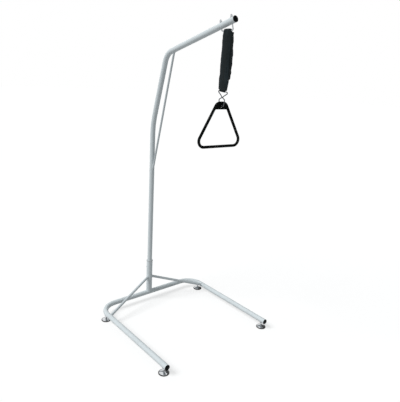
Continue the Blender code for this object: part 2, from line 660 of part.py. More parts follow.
def foot_set(base):
    """Four levelling feet: insert and lock nut on the frame, stem that screws, cup and pad."""
    insert = [
        (THREAD_R, 30.7 * MM), (9 * MM, 30.7 * MM), (9 * MM, 32.2 * MM),
        (INSERT_R, 32.2 * MM), (INSERT_R, 45 * MM), (THREAD_R, 45 * MM),
    ]
    low, high = 25.2 * MM, 30.4 * MM
    nut = [
        (THREAD_R, low), (NUT_FLATS / 2 - 0.3 * MM, low),
        (hexagon(NUT_FLATS), chamfer(NUT_FLATS, low, 1)),
        (hexagon(NUT_FLATS), chamfer(NUT_FLATS, high, -1)),
        (NUT_FLATS / 2 - 0.3 * MM, high), (THREAD_R, high),
    ]
    stem = scaled([(0, 7.1), (7.5, 7.1), (7.5, 9.4), (5, 11), (5, 49), (4, 50), (0, 50)])
    glide = scaled([
        (24.6, 4.5), (24.6, 5.1), (18, 8.1), (10, 11.7), (5.4, 13),
        (5.4, 11.5), (9.2, 10.4), (17.2, 6.8), (23, 4.7), (22.9, 4.5),
    ])
    lip = PAD_R / MM
    pad = scaled([
        (0, 0), (lip - 0.9, 0), (lip, 0.9), (lip, 3.4), (lip - 0.8, 4.2), (22.6, 4.2),
        (16.9, 6.3), (9, 9.9), (8, 9.9), (8, 6.8), (0, 6.8),
    ])
    shapes = (
        ("foot_insert_", insert, 12, ZINC, True),
        ("foot_lock_nut_", nut, 12, CHROME, True),
        ("foot_stem_", stem, 12, ZINC, False),
        ("foot_glide_", glide, 20, CHROME, True),
        ("foot_pad_", pad, 20, BLACK_RUBBER, False),
    )
    first = {}
    for name, place_of_foot in foot_places().items():
        travel = joint("foot_travel_" + name, base, place_of_foot + FRAME_Z * Z_AXIS)
        swivel = joint("foot_swivel_" + name, travel, place_of_foot)
        carriers = (base, base, travel, swivel, swivel)
        for (prefix, profile, sides, finish, loop), carrier in zip(shapes, carriers):
            if prefix in first:
                copy_of(first[prefix], prefix + name, carrier, place_of_foot)
                continue
            rings = turned_rings(profile, sides, place_of_foot)
            first[prefix] = piece(prefix + name, rings, finish, carrier, place_of_foot, loop)


def build():
    start_empty()
    base = joint("base", None, Vector())
    frame_space = base_frame(base)
    leg_end_caps(base)
    socket_space = mast_socket(base, frame_space)
    socket_bush(base)
    braces(base, frame_space, socket_space)
    clamp(base, socket_space)
    foot_set(base)
    mast_carrier = mast(base)
    hanger(mast_carrier)
    bar = Vector((0, STRAP_TOP_Y, BAR_Z))
    strap_carrier = joint("strap_joint", mast_carrier, bar)
    lifting_strap(strap_carrier, bar)
    strap_sleeve(strap_carrier, bar)
    link_bar = Vector((0, LINK_Y, LINK_Z))
    link_carrier = joint("link_joint", strap_carrier, link_bar)
    handle_link(link_carrier, link_bar)
    pivot = Vector((0, LINK_Y, PIVOT_Z))
    handle_carrier = joint("handle_joint", link_carrier, pivot)
    triangle_handle(handle_carrier, pivot)


build()
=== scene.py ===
"""A free-standing patient lifting pole: its finishes, welds, threads and sewn parts."""
import math

import bmesh
import bpy
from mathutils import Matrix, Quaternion, Vector
from mathutils.bvhtree import BVHTree


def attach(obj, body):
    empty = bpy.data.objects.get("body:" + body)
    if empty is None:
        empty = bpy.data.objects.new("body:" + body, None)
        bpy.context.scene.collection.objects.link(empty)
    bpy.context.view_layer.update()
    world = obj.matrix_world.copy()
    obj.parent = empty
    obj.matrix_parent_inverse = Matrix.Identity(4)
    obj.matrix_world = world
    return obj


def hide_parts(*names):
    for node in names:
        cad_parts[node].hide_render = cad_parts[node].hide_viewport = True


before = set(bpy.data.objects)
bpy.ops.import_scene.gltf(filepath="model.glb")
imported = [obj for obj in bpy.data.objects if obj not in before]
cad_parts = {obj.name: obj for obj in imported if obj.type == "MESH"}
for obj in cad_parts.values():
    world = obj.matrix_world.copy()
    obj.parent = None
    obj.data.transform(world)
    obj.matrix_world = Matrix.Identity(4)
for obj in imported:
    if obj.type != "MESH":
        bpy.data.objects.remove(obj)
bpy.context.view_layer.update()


# Floor frame
# One length of 30 mm steel tube, bent twice into two legs and a rear cross tube. After
# welding it is powder coated in light silver grey, like the mast that stands in it.
MM = 0.001
MAST_Y = 342.85
LEG_X = 365
TUBE_R = 15
TUBE_Z = 47.5


def at(x, y, z):
    """A point in millimetres from where the mast's axis meets the floor, in metres."""
    return Vector((x, y + MAST_Y, z)) * MM


class Wire:
    """One output of a shader node. Operators on it add Math nodes."""
    tree = None

    def __init__(self, output):
        self.output = output

    @staticmethod
    def node(kind, settings, sockets, output=0):
        """Any node: its settings first, then the value or the wire of each socket."""
        made = Wire.tree.nodes.new(kind)
        for name, value in settings.items():
            setattr(made, name, value)
        for name, value in sockets.items():
            if isinstance(value, Wire):
                Wire.tree.links.new(value.output, made.inputs[name])
            else:
                made.inputs[name].default_value = value
        return Wire(made.outputs[output] if made.outputs else None)

    @staticmethod
    def math(operation, *terms):
        """A Math node on wires and numbers."""
        return Wire.node("ShaderNodeMath", {"operation": operation}, dict(enumerate(terms)))

    def __add__(self, other):
        return Wire.math("ADD", self, other)

    def __sub__(self, other):
        return Wire.math("SUBTRACT", self, other)

    def __rsub__(self, other):
        return Wire.math("SUBTRACT", other, self)

    def __mul__(self, other):
        return Wire.math("MULTIPLY", self, other)

    __radd__ = __add__
    __rmul__ = __mul__


def new_finish(name, **constants):
    """Start a material, with what is the same all over it set on the shader's sockets."""
    material = bpy.data.materials.new(name)
    material.use_nodes = True
    Wire.tree = material.node_tree
    shader = material.node_tree.nodes["Principled BSDF"]
    for socket, value in constants.items():
        shader.inputs[socket.replace("_", " ")].default_value = value
    return material


def vary(**channels):
    """Link what changes over the surface to the shader of the material being made."""
    shader = Wire.tree.nodes["Principled BSDF"]
    for socket, value in channels.items():
        Wire.tree.links.new(value.output, shader.inputs[socket.replace("_", " ")])


def position():
    """Where a point of the surface is, in metres on the piece's own axes."""
    return Wire.node("ShaderNodeTexCoord", {}, {}, "Object")


def along(axis):
    """How far a point is along the piece's X, Y or Z axis."""
    return Wire.node("ShaderNodeSeparateXYZ", {}, {"Vector": position()}, axis)


def noise(scale, detail=2.0, stretch=(1, 1, 1)):
    """Cloudy values about 0.5, with so many features to a metre."""
    spread = {0: position(), 1: stretch}
    where = Wire.node("ShaderNodeVectorMath", {"operation": "MULTIPLY"}, spread)
    return Wire.node("ShaderNodeTexNoise", {}, {"Vector": where, "Scale": scale, "Detail": detail})


def between(value, low, high):
    """0 below low and 1 above high, with a smooth rise between them."""
    rise = {"Value": value, "From Min": low, "From Max": high}
    return Wire.node("ShaderNodeMapRange", {"interpolation_type": "SMOOTHSTEP"}, rise)


def mix(share, first, second):
    """The first colour, changing to the second as the share rises from 0 to 1."""
    return Wire.node("ShaderNodeMix", {"data_type": "RGBA"}, {0: share, 6: first, 7: second}, 2)


def relief(height, depth):
    """A normal from a height of 0 to 1 over a depth in metres."""
    return Wire.node("ShaderNodeBump", {}, {"Height": height, "Distance": depth})


SCUFF = (0.42, 0.44, 0.45, 1)
LOW_PATCH_TONE = (0.34, 0.33, 0.31, 1)
SHARP_EDGE = math.radians(34)


def powder_coat(name, light, dark):
    """Baked powder: orange peel, faint clouds, fine scuffs and patches that darken towards the
    floor.
    """
    material = new_finish(name)
    clouds = noise(11, 3)
    peel = noise(620, 1)
    scuffs = between(noise(95, 4, (1, 1, 0.2)), 0.66, 0.74) * between(noise(7), 0.52, 0.64)
    # Patchy darkening of the coat within the lowest 11 cm, darker towards the floor.
    low_patches = (1 - between(along("Z"), 0.0, 0.11)) * between(noise(38, 4), 0.42, 0.7)
    tint = mix(clouds * 0.8, light, dark)
    tint = mix(scuffs * 0.35, tint, SCUFF)
    vary(Base_Color=mix(low_patches * 0.22, tint, LOW_PATCH_TONE),
         Roughness=0.33 + clouds * 0.12 + scuffs * 0.2 + low_patches * 0.15,
         Normal=relief(peel, 0.00006))
    return material


smoothing = bpy.data.node_groups.new("smooth_by_angle", "GeometryNodeTree")
for way in ("INPUT", "OUTPUT"):
    smoothing.interface.new_socket("Geometry", in_out=way, socket_type="NodeSocketGeometry")
Wire.tree = smoothing
facets = Wire.node("GeometryNodeMergeByDistance", {}, {
    "Geometry": Wire.node("NodeGroupInput", {}, {}), "Distance": 1e-6})
facets = Wire.node("GeometryNodeRemoveAttribute", {}, {
    "Geometry": facets, "Name": "custom_normal"})
facets = Wire.node("GeometryNodeSetShadeSmooth", {"domain": "FACE"}, {"Geometry": facets})
bend = Wire.node("GeometryNodeInputMeshEdgeAngle", {}, {})
Wire.node("NodeGroupOutput", {}, {"Geometry": Wire.node(
    "GeometryNodeSetShadeSmooth", {"domain": "EDGE"},
    {"Geometry": facets, "Shade Smooth": Wire.math("LESS_THAN", bend, SHARP_EDGE)})})


def finish_node(node, material):
    """Give a CAD node its finish, and shade its round faces smooth."""
    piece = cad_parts[node]
    piece.data.materials.clear()
    piece.data.materials.append(material)
    piece.modifiers.new("smooth_by_angle", "NODES").node_group = smoothing


silver_coat = powder_coat("silver_powder_coat", (0.63, 0.68, 0.70, 1), (0.56, 0.615, 0.64, 1))
finish_node("base_frame", silver_coat)


# Leg end caps
# Black polythene plugs pushed into the open front ends of the legs. Their faces are
# lightly grained by the mould and dulled by the floor and by shoes.
def moulded_black(name, grain, depth, roughness):
    """Black plastic with a spark-eroded mould's grain and slightly polished high spots."""
    material = new_finish(name, Specular_IOR_Level=0.05)
    rubbed = between(noise(26, 3), 0.45, 0.7)
    speck = noise(grain, 2)
    vary(Base_Color=mix(rubbed, (0.002, 0.003, 0.0028, 1), (0.006, 0.0075, 0.007, 1)),
         Roughness=roughness + 0.14 * speck - rubbed * 0.06,
         Normal=relief(speck, depth))
    return material


plug_plastic = moulded_black("black_plug_plastic", 1500, 0.00005, 0.42)
for side in ("left", "right"):
    finish_node("leg_end_cap_" + side, plug_plastic)


# Levelling feet
# Under each leg and rear corner a threaded insert takes a zinc plated M10 stem, which is
# locked by a jam nut. The stem ends in a ball inside a pressed, chromed cup on a pad.
def mesh_of(name, stacks, closed=False):
    """Skin stacks of rings. A closed one joins its last ring to its first, others are capped."""
    bm = bmesh.new()
    for rings in stacks:
        rows = [[bm.verts.new(point) for point in ring] for ring in rings]
        pairs = list(zip(rows, rows[1:]))
        if closed:
            pairs.append((rows[-1], rows[0]))
        else:
            bm.faces.new(rows[0])
            bm.faces.new(rows[-1])
        for first, second in pairs:
            for k in range(len(first)):
                n = (k + 1) % len(first)
                bm.faces.new((first[k], first[n], second[n], second[k]))
    bmesh.ops.recalc_face_normals(bm, faces=bm.faces[:])
    mesh = bpy.data.meshes.new(name)
    bm.to_mesh(mesh)
    bm.free()
    mesh.shade_smooth()
    mesh.set_sharp_from_angle(angle=math.radians(38))
    return mesh


def add_piece(name, mesh, material, body, place=Vector()):
    """Stand a piece in the scene, on the body that it moves with."""
    piece = bpy.data.objects.new(name, mesh)
    bpy.context.scene.collection.objects.link(piece)
    if not mesh.materials:
        mesh.materials.append(material)
    piece.location = place
    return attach(piece, body)


UP = Vector((0, 0, 1))


def turned(profile, sides, centre=Vector(), axis=UP):
    """Rings of a turned shape from radii, which may be functions, and heights in millimetres."""
    stand = UP.rotation_difference(axis)
    rings = []
    for radius, height in profile:
        ring = []
        for k in range(sides):
            angle = math.tau * k / sides
            r = radius(angle, height) if callable(radius) else radius
            spot = Vector((r * math.cos(angle), r * math.sin(angle), height)) * MM
            ring.append(centre + stand @ spot)
        rings.append(ring)
    return rings


THREAD_PITCH = 1.5
THREAD_CREST = 4.95
THREAD_DEPTH = 0.85
THREAD_START = 11.5
THREAD_STEP = 0.25
THREAD_RINGS = 119
CUP_SIDES = 56
STEM_SIDES = 20


def m10_thread(angle, height):
    """The radius of an M10 thread: flat crests and roots between sloping flanks."""
    turn = (height / THREAD_PITCH - angle / math.tau) % 1
    flank = min(1.0, max(0.0, 1.3 * abs(2 * turn - 1) - 0.15))
    return THREAD_CREST - THREAD_DEPTH * flank


chrome = new_finish("bright_chrome", Metallic=1.0)
handled = between(noise(60, 4), 0.5, 0.75)
vary(Base_Color=mix(handled, (0.68, 0.70, 0.72, 1), (0.52, 0.54, 0.56, 1)),
     Roughness=0.06 + 0.16 * handled + 0.05 * noise(900),
     Normal=relief(noise(45, 1), 0.00004))


def zinc_finish(name, light, dark):
    """Zinc plate with a cloudy bloom and the drawing marks of the rod under it."""
    material = new_finish(name, Metallic=1.0)
    bloom = noise(130, 4)
    drawn = noise(2200, 1, (1, 1, 0.25))
    vary(Base_Color=mix(bloom, light, dark), Roughness=0.26 + 0.2 * bloom + 0.06 * drawn,
         Normal=relief(drawn, 0.00002))
    return material


zinc_plate = zinc_finish("zinc_plate", (0.56, 0.58, 0.60, 1), (0.41, 0.43, 0.445, 1))

floor_rubber = new_finish("black_floor_rubber", Specular_IOR_Level=0.35)
dust = between(noise(120, 5), 0.45, 0.75)
vary(Base_Color=mix(dust * 0.6, (0.016, 0.016, 0.016, 1), (0.07, 0.067, 0.062, 1)),
     Roughness=0.72 + 0.2 * dust, Normal=relief(noise(800), 0.00008))

cup_mesh = mesh_of("chromed_cup", [turned([
    (22.8, 4.6), (23.2, 4.35), (24.1, 4.35), (24.5, 4.6), (24.6, 5.0), (24.3, 5.4), (22.8, 6.0),
    (20.4, 7.0), (18.0, 8.05), (15.2, 9.3), (12.6, 10.55), (10.0, 11.65), (7.8, 12.5),
    (6.2, 12.95), (5.6, 12.9), (5.4, 12.6), (5.4, 11.6), (9.2, 10.4), (17.2, 6.8), (22.4, 4.9),
], CUP_SIDES)], closed=True)
pad_mesh = mesh_of("rubber_pad", [turned([
    (0.02, 0), (27, 0), (27.8, 0.15), (28.35, 0.6), (28.5, 1.2), (28.5, 3.0), (28.3, 3.7),
    (27.8, 4.1), (27.1, 4.2), (22.6, 4.2), (16.9, 6.3), (9, 9.9), (8, 9.9), (8, 6.8),
    (0.02, 6.8),
], CUP_SIDES)])
shank = [(0.02, 7.1), (6.6, 7.1), (7.5, 7.8), (7.5, 8.8), (6.6, 10.2), (4.3, 11.2)]
shank += [(m10_thread, THREAD_START + THREAD_STEP * k) for k in range(THREAD_RINGS)]
shank += [(4.9, 41.3), (4.9, 49.2), (4.2, 50), (0.02, 50)]
stem_mesh = mesh_of("threaded_stem", [turned(shank, STEM_SIDES)])
FRONT_FOOT_Y = -685
REAR_FOOT_Y = -80
REAR_FOOT_X = 361.98
FEET = {
    "front_left": at(-LEG_X, FRONT_FOOT_Y, 0), "front_right": at(LEG_X, FRONT_FOOT_Y, 0),
    "rear_left": at(-REAR_FOOT_X, REAR_FOOT_Y, 0), "rear_right": at(REAR_FOOT_X, REAR_FOOT_Y, 0),
}
for foot, spot in FEET.items():
    cup = add_piece("chromed_cup_" + foot, cup_mesh, chrome, "glide_" + foot, spot)
    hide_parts("foot_glide_" + foot)
    pad = add_piece("rubber_pad_" + foot, pad_mesh, floor_rubber, "glide_" + foot,
                    spot)
    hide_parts("foot_pad_" + foot)
    stem = add_piece("threaded_stem_" + foot, stem_mesh, zinc_plate, "foot_" + foot, spot)
    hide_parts("foot_stem_" + foot)
    finish_node("foot_lock_nut_" + foot, chrome)
    finish_node("foot_insert_" + foot, zinc_plate)


# Socket and braces
# A 38 mm tube, notched over the cross tube, with two 16 mm tubes down to the legs. All of
# it is MIG welded before coating, so the rippled beads are the same colour as the tubes.
BEAD_R = 2.1
RIPPLE = 3.0
RIPPLE_SWELL = (1, 1.1, 1.05, 0.95, 0.88)
LINE_POINTS = 120


def swept(path, radius, side, sides=8, closed=False):
    """Rings of a round bar along a path. Radius and side may be lists, one for each point."""
    last = len(path) - 1
    rings = []
    for k, point in enumerate(path):
        before = path[k - 1] if closed or k else point
        after = path[(k + 1) % len(path)] if closed or k < last else point
        way = (after - before).normalized()
        out = side[k] if isinstance(side, list) else side
        out = (out - way * out.dot(way)).normalized()
        over = way.cross(out)
        r = radius[k] if isinstance(radius, list) else radius
        angles = [math.tau * (n + 0.5) / sides for n in range(sides)]
        rings.append([point + r * (math.cos(a) * out + math.sin(a) * over) for a in angles])
    return rings


def meeting_line(start, way, radius, centre, main_way, main_radius):
    """The closed line where a round bar runs into the side of a round tube."""
    side = way.cross(main_way).normalized()
    over = way.cross(side)
    line = []
    for k in range(LINE_POINTS):
        angle = math.tau * k / LINE_POINTS
        point = start + radius * MM * (math.cos(angle) * side + math.sin(angle) * over)
        across = way - main_way * way.dot(main_way)
        offset = point - centre
        offset -= main_way * offset.dot(main_way)
        a = across.dot(across)
        b = across.dot(offset)
        c = offset.dot(offset) - (main_radius * MM) ** 2
        line.append(point - way * (b + math.sqrt(b * b - a * c)) / a)
    return line


def weld_bead(line, start, way, radius=BEAD_R):
    """A rippled bead along a closed line round a bar that runs through start."""
    gaps = [(line[(k + 1) % len(line)] - point).length for k, point in enumerate(line)]
    count = round(sum(gaps) / (RIPPLE * MM)) * len(RIPPLE_SWELL)
    pitch = sum(gaps) / count
    path = []
    walked = 0.0
    for k, gap in enumerate(gaps):
        while len(path) < count and len(path) * pitch <= walked + gap:
            share = (len(path) * pitch - walked) / gap
            path.append(line[k].lerp(line[(k + 1) % len(line)], share))
        walked += gap
    sides = [point - start - way * (point - start).dot(way) for point in path]
    radii = [radius * MM * RIPPLE_SWELL[k % len(RIPPLE_SWELL)] for k in range(len(path))]
    return swept(path, radii, sides, closed=True)


def weld(start, end, radius, centre, main_way, main_radius, bead=BEAD_R):
    """The bead where a bar from start to end meets a tube."""
    way = (end - start).normalized()
    line = meeting_line(start, way, radius, centre, main_way, main_radius)
    return weld_bead(line, start, way, bead)


BACK = Vector((0, 1, 0))
SOCKET_R = 19
BRACE_R = 8
BRACE_TOP = at(0, 0, 166)
BRACE_FOOT_Y = -130
BOSS_R = 8
BOSS_REACH = 40
CLAMP_Z = 222
CLAMP = at(0, 0, CLAMP_Z)
beads = []
for side in (-1, 1):
    brace_foot = at(side * LEG_X, BRACE_FOOT_Y, TUBE_Z)
    beads.append(weld(BRACE_TOP, brace_foot, BRACE_R, brace_foot, BACK, TUBE_R))
    beads.append(weld(brace_foot, BRACE_TOP, BRACE_R, BRACE_TOP, UP, SOCKET_R))

# The socket is wider than the cross tube, so its bead dips and draws in at front and rear.
LOWEST_BEAD = 3.0
saddle = []
for k in range(LINE_POINTS):
    angle = math.tau * k / LINE_POINTS
    across = SOCKET_R * math.sin(angle)
    over_tube = math.sqrt(max(LOWEST_BEAD ** 2, TUBE_R ** 2 - across ** 2))
    out = SOCKET_R - 2.0 * max(0.0, abs(math.sin(angle)) - 0.7) / 0.3
    saddle.append(at(out * math.cos(angle), out * math.sin(angle), TUBE_Z + over_tube))
beads.append(weld_bead(saddle, at(0, 0, 0), UP, radius=2.4))
beads.append(weld(at(0, BOSS_REACH, CLAMP_Z), CLAMP, BOSS_R, CLAMP, UP, SOCKET_R, bead=1.5))
add_piece("frame_weld_beads", mesh_of("frame_weld_beads", beads, closed=True),
          silver_coat, "base")

# Painted shade: the same silver powder coat, made darker for the thin braces and the strut rod to
# stand in for the shade on them; the real coat is one colour.
thin_tube_shaded_coat = powder_coat("thin_tube_shaded_powder_coat", (0.56, 0.605, 0.625, 1), (0.49, 0.54, 0.565, 1))
finish_node("mast_socket", silver_coat)
finish_node("clamp_boss", silver_coat)
finish_node("brace_left", thin_tube_shaded_coat)
finish_node("brace_right", thin_tube_shaded_coat)


# Socket bush
# A grey acetal liner, pushed into the socket's mouth so that the mast does not rattle or
# scratch its coating. Its flange is a little rubbed where the mast goes in.
bush_plastic = new_finish("grey_bush_plastic", Specular_IOR_Level=0.45)
rubbed = between(noise(240, 3), 0.5, 0.72)
vary(Base_Color=mix(rubbed, (0.46, 0.49, 0.50, 1), (0.56, 0.59, 0.60, 1)),
     Roughness=0.38 + 0.18 * rubbed, Normal=relief(noise(1400), 0.00003))
finish_node("socket_bush", bush_plastic)


# Clamp screw
# A zinc plated button head screw in the boss behind the socket. It is driven by a hexagon
# key and its tip holds the mast.
KEY_FLATS = 4.6
SCREW_SIDES = 36


def key_socket(angle, height):
    """The radius of the six-sided socket that the key drives."""
    return KEY_FLATS / 2 / math.cos((angle + math.pi / 6) % (math.pi / 3) - math.pi / 6)


screw = mesh_of("clamp_button_screw", [turned([
    (0.02, 15.3), (3, 15.3), (4, 16.3), (4, 25.3), (6.6, 25.3), (7, 25.6), (7, 26.3), (6.7, 27.1),
    (5.9, 28.2), (4.8, 29.1), (3.6, 29.6), (3.0, 29.7), (key_socket, 29.4), (key_socket, 27.1),
    (0.02, 26.6),
], SCREW_SIDES, CLAMP, BACK)])
screw = add_piece("clamp_button_screw", screw, zinc_plate, "clamp")
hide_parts("clamp_screw")


# Mast and strut
# The mast and boom are one bent tube that lifts out of the socket. A thin steel rod is
# welded between the mast and the underside of the boom, and the tip is closed by a plug.
LEAN = math.radians(16.56)
BOOM_RISE = math.radians(16)
MAST_BEND_Z = 1162
LEAN_LENGTH = 423
BOOM_LENGTH = 544
KNEE = at(0, -LEAN_LENGTH * math.sin(LEAN), MAST_BEND_Z + LEAN_LENGTH * math.cos(LEAN))
BOOM_WAY = Vector((0, -math.cos(BOOM_RISE), math.sin(BOOM_RISE)))
BOOM_TIP = KNEE + BOOM_LENGTH * MM * BOOM_WAY
STRUT_R = 6
STRUT_FOOT_Z = 889
STRUT_FOOT = at(0, -11.3, STRUT_FOOT_Z)
STRUT_HEAD = at(0, -188.7, 1586)
mast_axis = at(0, 0, STRUT_FOOT_Z)
beads = [weld(STRUT_FOOT, STRUT_HEAD, STRUT_R, BOOM_TIP, BOOM_WAY, TUBE_R, bead=1.7),
         weld(STRUT_HEAD, STRUT_FOOT, STRUT_R, mast_axis, UP, TUBE_R, bead=1.6)]
add_piece("strut_weld_beads", mesh_of("strut_weld_beads", beads, closed=True),
          silver_coat, "mast")
finish_node("mast_tube", silver_coat)
# The strut rod takes the darker copy of the silver coat, which is painted shade.
finish_node("strut_rod", thin_tube_shaded_coat)
finish_node("boom_end_plug", plug_plastic)
finish_node("mast_foot_plug", plug_plastic)


# Strap hanger
# A 6 mm zinc plated rod, bent into a level bar between two legs. They pass through the
# boom, and each is held on top of it by a washer and a cap nut.
for node in ("strap_hanger", "hanger_washer_inner", "hanger_washer_outer",
             "hanger_dome_nut_inner", "hanger_dome_nut_outer"):
    finish_node(node, zinc_plate)


# Lifting strap
# Black 38 mm polyester webbing, looped over the hanger's bar and round the link's bar,
# then lapped and box stitched. The sleeve covers all but the lower loop.
STRAP_TOP = -600
STRAP_DRIFT = 11
BAR_Z = 1667.5
LINK_Z = 1392.5
LINK_SLOPE = 0.1
WEBBING = 1.6
PINCH = 1.15
TOP_LOOP_R = 4.1
LOWER_LOOP_R = 3.6
LOOP_REACH = 17
LAP_GAP = 0.3
LAP_FOOT_Z = 1480
LAP_TOP_Z = 1560


def hung(x, across, z):
    """A point of the hanging strap: it drifts to the mast and its lower loop slopes."""
    fall = (BAR_Z - z) / (BAR_Z - LINK_Z)
    slope = LINK_SLOPE * min(1.0, max(0.0, 1.4 * fall - 0.4))
    return at(x, STRAP_TOP + STRAP_DRIFT * fall + across, z + slope * across)


def loop_of_webbing(centre_z, radius, up):
    """The line of webbing round a bar, between its two pinched runs."""
    pinched = math.hypot(PINCH, LOOP_REACH)
    touch = math.atan2(-LOOP_REACH, PINCH) + math.acos(radius / pinched)
    points = [(PINCH, centre_z - up * LOOP_REACH)]
    for k in range(17):
        angle = touch + (math.pi - 2 * touch) * k / 16
        points.append((radius * math.cos(angle), centre_z + up * radius * math.sin(angle)))
    return points + [(-PINCH, centre_z - up * LOOP_REACH)]


def woven(axis, spacing):
    """The rise and fall of threads that lie at a spacing in metres along an axis."""
    return Wire.math("SINE", along(axis) * (math.tau / spacing)) * 0.5 + 0.5


webbing_cloth = new_finish("black_webbing", Specular_IOR_Level=0.12, Sheen_Weight=0.04)
ribs = woven("Z", 0.0017)
yarns = woven("Y", 0.0011)
vary(Base_Color=mix(noise(400), (0.005, 0.007, 0.0075, 1), (0.012, 0.015, 0.016, 1)),
     Roughness=0.78 + 0.12 * ribs, Normal=relief(ribs * yarns, 0.00022))

lapped = PINCH + WEBBING + LAP_GAP
strap_line = [(PINCH, LAP_FOOT_Z)] + loop_of_webbing(BAR_Z, TOP_LOOP_R, 1)
strap_line += loop_of_webbing(LINK_Z, LOWER_LOOP_R, -1)[::-1]
strap_line += [(PINCH, LAP_FOOT_Z - 14), (lapped, LAP_FOOT_Z - 4), (lapped, LAP_TOP_Z)]
flat_line = [Vector((x, 0, z)) for x, z in strap_line]
selvedge = [(1, 16.5), (0.9, 18), (0.5, 18.8), (0, 19), (-0.5, 18.8), (-0.9, 18), (-1, 16.5)]
section = selvedge + [(out, -across) for out, across in selvedge[::-1]]
rings = []
for k, point in enumerate(flat_line):
    way = (flat_line[min(k + 1, len(flat_line) - 1)] - flat_line[max(k - 1, 0)]).normalized()
    face = way.cross(BACK) * WEBBING / 2
    rings.append([hung(point.x + face.x * out, across, point.z + face.z * out)
                  for out, across in section])
strap = add_piece("lapped_webbing_strap", mesh_of("lapped_webbing_strap", [rings]),
                  webbing_cloth, "strap")
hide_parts("lifting_strap")


# Padded sleeve
# Black nylon over foam, wrapped round the strap and closed along its front edge by a
# pressed strip of hook and loop, which stops short of the hem. Its ends are sewn.
SEWN_HEM = 1402
SEWN_TOP = 1676
MOST_SWELLING = 2.2
PADDING_POINTS = 40
BAR_CLEARANCE = 3.6
STRIP_HALF = 1.7
STRIP_LOW = 1450.4
STRIP_HIGH = 1661
STRIP_RINGS = 80


def faces_of(mesh):
    """A mesh's faces, to find where a line meets them."""
    bm = bmesh.new()
    bm.from_mesh(mesh)
    faces = BVHTree.FromBMesh(bm)
    bm.free()
    return faces


sleeve_solid = faces_of(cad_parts["strap_sleeve"].data)


def sleeve_reach(z, way, *sides):
    """How far the sleeve's solid reaches from the strap's line: forward for -1, back for 1."""
    found = []
    for x in sides:
        middle = hung(x, 0, z)
        start = hung(x, 60 * way, z)
        hit = sleeve_solid.ray_cast(start, middle - start)[0]
        if hit is not None:
            found.append((hit - middle).length / MM)
    return max(found)


def loose(z):
    """How free the padding is to swell: 0 at its sewn ends and 1 along its middle."""
    return max(0.0, min(1.0, (z - SEWN_HEM) / 44, (SEWN_TOP - z) / 24))


def padding_ring(z):
    """A soft oval section of the padding: thin, wide and long, as it swells and draws in."""
    spare = loose(z)
    half = sleeve_solid.ray_cast(hung(60, 0, z), Vector((-1, 0, 0)))[0].x / MM - 1.1 * spare
    longer = max(0.0, (z - 1660) / 9) - max(0.0, (1412 - z) / 9.6)
    ring = []
    for k in range(PADDING_POINTS):
        angle = math.tau * k / PADDING_POINTS
        # In front, the solid is measured beside its closing strip.
        to_rear = math.cos(angle) > 0
        extent = sleeve_reach(z, 1, 0.4, 4.2) if to_rear else sleeve_reach(z, -1, 3, 4.2)
        extent += 1.2 + 2.2 * spare
        across = math.copysign(abs(math.cos(angle)) ** 0.8, math.cos(angle)) * extent
        x = math.copysign(abs(math.sin(angle)) ** 0.72, math.sin(angle)) * half
        ring.append(hung(x, across, z + longer))
    return ring


sleeve_cloth = new_finish("black_sleeve_cloth", Specular_IOR_Level=0.12, Sheen_Weight=0.05)
warp = woven("Y", 0.0009)
weft = woven("Z", 0.0009)
streaks = between(noise(70, 3, (1, 1, 0.08)), 0.42, 0.68)
lint = between(noise(1500, 2), 0.7, 0.78)
cloth_tint = mix(streaks, (0.0075, 0.0115, 0.0125, 1), (0.016, 0.0235, 0.027, 1))
vary(Base_Color=mix(lint * 0.2, cloth_tint, (0.07, 0.075, 0.08, 1)),
     Roughness=0.70 + 0.14 * streaks,
     Normal=relief(warp * weft + 0.6 * noise(260, 3), 0.00016))

hook_and_loop = new_finish("black_hook_and_loop", Specular_IOR_Level=0.08, Sheen_Weight=0.03)
pile = noise(1900, 3)
vary(Base_Color=mix(pile, (0.004, 0.006, 0.0065, 1), (0.011, 0.015, 0.016, 1)),
     Roughness=0.85 + 0.1 * pile, Normal=relief(pile, 0.0003))

heights = [1397.6 + 3.6 * k for k in range(76)] + [1669, 1671.5, 1673.5, 1675.2, 1676.2]
foam = mesh_of("padded_sleeve", [[padding_ring(z) for z in heights]])
padding = bpy.data.objects.new("padded_sleeve", foam)
bpy.context.scene.collection.objects.link(padding)


def settle(obj):
    """Replace an object's mesh by what its modifiers make of it, and clear them."""
    shape = obj.evaluated_get(bpy.context.evaluated_depsgraph_get())
    mesh = bpy.data.meshes.new_from_object(shape)
    obj.modifiers.clear()
    obj.data = mesh


remesh = padding.modifiers.new("even_cloth", "REMESH")
remesh.mode = "VOXEL"
remesh.voxel_size = 0.0035
settle(padding)
before = [v.co.copy() for v in padding.data.vertices]
held = padding.vertex_groups.new(name="sewn")
for v in padding.data.vertices:
    at_strip = v.co.y < (STRAP_TOP + MAST_Y - 24) * MM
    at_seam = loose(v.co.z / MM) < 0.2
    held.add([v.index], 1.0 if at_seam else 0.6 if at_strip else 0.0, "REPLACE")
cloth = padding.modifiers.new("foam", "CLOTH")
for setting, value in {
    "quality": 6, "mass": 0.25, "tension_stiffness": 12, "compression_stiffness": 12,
    "bending_stiffness": 0.15, "use_pressure": True, "uniform_pressure_force": 3.0,
    "shrink_min": -0.05, "vertex_group_mass": "sewn",
}.items():
    setattr(cloth.settings, setting, value)
cloth.settings.effector_weights.gravity = 0
cloth.collision_settings.use_collision = False
for number in range(1, 21):
    bpy.context.scene.frame_set(number)
settle(padding)
bpy.context.scene.frame_set(1)
for v, old in zip(padding.data.vertices, before):
    move = v.co - old
    share = loose(old.z / MM) * min(1.0, MOST_SWELLING * MM / max(move.length, 1e-9))
    v.co = old + move * share
smooth = padding.modifiers.new("fine_cloth", "SUBSURF")
smooth.levels = 1
smooth.render_levels = 1
settle(padding)


def shaper(piece, mesh, operation="DIFFERENCE"):
    """A shape that a piece is cut with, or that is fused to it."""
    shape = bpy.data.objects.new(mesh.name, mesh)
    bpy.context.scene.collection.objects.link(shape)
    change = piece.modifiers.new(mesh.name, "BOOLEAN")
    change.operation = operation
    change.object = shape
    return shape


